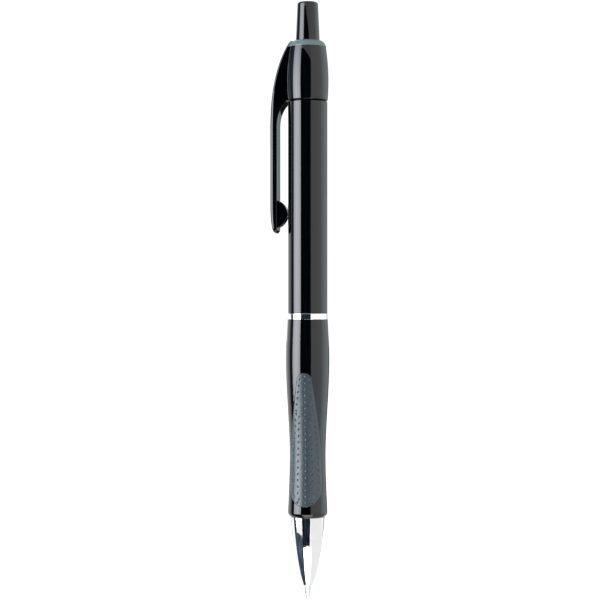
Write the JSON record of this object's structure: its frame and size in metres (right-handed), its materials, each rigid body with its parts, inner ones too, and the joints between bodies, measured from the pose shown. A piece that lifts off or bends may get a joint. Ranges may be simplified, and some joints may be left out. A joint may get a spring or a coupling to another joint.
{
  "type": "retractable gel pen",
  "caption": "Retractable gel pen with a click button, sprung pocket clip, dimpled rubber grip pads, metal nose cone and removable ink refill.",
  "frame": {"origin": "lowest point of the writing ball with the tip out, on the pen's axis", "axes": "+Z along the pen's axis from the tip to the push button; -X towards the pocket clip; +Y and -Y through the middles of the two grip pads"},
  "size_m": [0.014, 0.0104, 0.143],
  "materials": {
    "black_gloss": "polished black moulded plastic",
    "collar_grey": "satin blue-grey plastic",
    "chrome": "bright chrome plating",
    "grip_rubber": "soft blue-grey rubber with moulded dimples",
    "tip_metal": "turned nickel silver",
    "ball_metal": "polished hard ball",
    "spring_steel": "bright drawn spring wire",
    "cam_white": "natural white acetal",
    "cam_black": "black acetal",
    "clear_tube": "clear polypropylene",
    "holder_plastic": "milky polypropylene",
    "ink": "black gel ink",
    "grease": "clear follower grease"
  },
  "bodies": {
    "barrel": {"upper_barrel": "black_gloss", "grip_barrel": "black_gloss", "trim_ring": "chrome", "grip_pad_front": "grip_rubber", "grip_pad_back": "grip_rubber", "nose_cone": "chrome", "clip_cap": "black_gloss", "collar_ring": "collar_grey", "cam_sleeve": "cam_white", "return_spring": "spring_steel"},
    "clip": {"clip_arm": "black_gloss"},
    "button": {"push_button": "black_gloss", "cam_plunger": "cam_black"},
    "refill": {"refill_tube": "clear_tube", "ink_column": "ink", "ink_follower": "grease", "tip_holder": "holder_plastic", "writing_tip": "tip_metal", "tail_plug": "holder_plastic"},
    "rotor": {"cam_rotor": "cam_white"},
    "ball": {"writing_ball": "ball_metal"}
  },
  "joints": [
    {"name": "button_press", "type": "slide", "parent": "barrel", "child": "button", "axis": [0, 0, 1], "range_m": [-0.0012, 0.005], "stiffness_N_per_m": 120, "springref_m": 0.012},
    {"name": "refill_slide", "type": "slide", "parent": "barrel", "child": "refill", "axis": [0, 0, 1], "range_m": [-0.0012, 0.005], "deforming": ["return_spring"]},
    {"name": "rotor_turn", "type": "hinge", "parent": "refill", "child": "rotor", "pos_m": [0, 0, 0.108], "axis": [0, 0, 1], "range_deg": [0, 90]},
    {"name": "clip_flex", "type": "hinge", "parent": "barrel", "child": "clip", "pos_m": [-0.00795, 0, 0.113], "axis": [0, 1, 0], "range_deg": [0, 6], "stiffness_Nm_per_rad": 0.6},
    {"name": "ball_roll", "type": "hinge", "parent": "refill", "child": "ball", "pos_m": [0, 0, 0.00035], "axis": [1, 0, 0], "continuous": true}
  ],
  "couplings": [
    {"joint": "refill_slide", "follows": "button_press", "ratio": 1}
  ]
}
